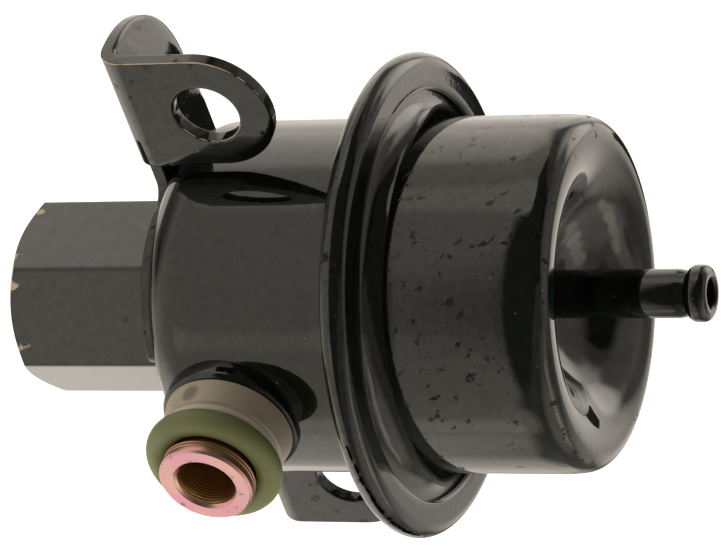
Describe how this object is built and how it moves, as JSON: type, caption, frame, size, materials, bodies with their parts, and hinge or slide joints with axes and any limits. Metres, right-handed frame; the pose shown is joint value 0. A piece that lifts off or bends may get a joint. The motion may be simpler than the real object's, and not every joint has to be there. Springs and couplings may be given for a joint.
{
  "type": "fuel pressure regulator",
  "caption": "Fuel pressure regulator with a dished spring cover, a rolled rim, a hexagon outlet, a sealed side inlet, a vacuum nipple and a bracket with drilled ears",
  "frame": {"origin": "Where the main axis crosses the inlet's axis, midway between the two ear holes and inside the thickness of the ears.", "axes": "+X runs along the main axis to the vacuum nipple, -Y runs out of the inlet stub, and Z runs through both ear holes."},
  "size_m": [0.0742, 0.0524, 0.0666],
  "materials": {
    "black_enamel": "gloss",
    "yellow_zinc": "satin",
    "tan_plastic": "matte",
    "olive_rubber": "matte",
    "turned_steel": "satin",
    "spring_steel": "satin",
    "diaphragm_rubber": "matte"
  },
  "bodies": {
    "body": {"spring_cover": "black_enamel", "vacuum_nipple": "black_enamel", "fuel_housing": "black_enamel", "mounting_bracket": "black_enamel", "outlet_hex": "black_enamel", "inlet_stub": "yellow_zinc", "inlet_backing_ring": "tan_plastic", "inlet_o_ring": "olive_rubber", "return_tube": "turned_steel", "valve_seat": "turned_steel", "diaphragm": "diaphragm_rubber", "main_spring": "spring_steel", "spring_seat": "yellow_zinc"},
    "valve": {"spring_plate": "yellow_zinc", "wet_side_plate": "yellow_zinc", "valve_carrier": "turned_steel", "valve_ball": "turned_steel", "ball_retainer": "turned_steel", "ball_spring": "spring_steel"}
  },
  "joints": [
    {"name": "valve_lift", "type": "slide", "parent": "body", "child": "valve", "axis": [1, 0, 0], "range_m": [0, 0.001], "stiffness_N_per_m": 6300, "deforming": ["main_spring", "diaphragm"]}
  ]
}
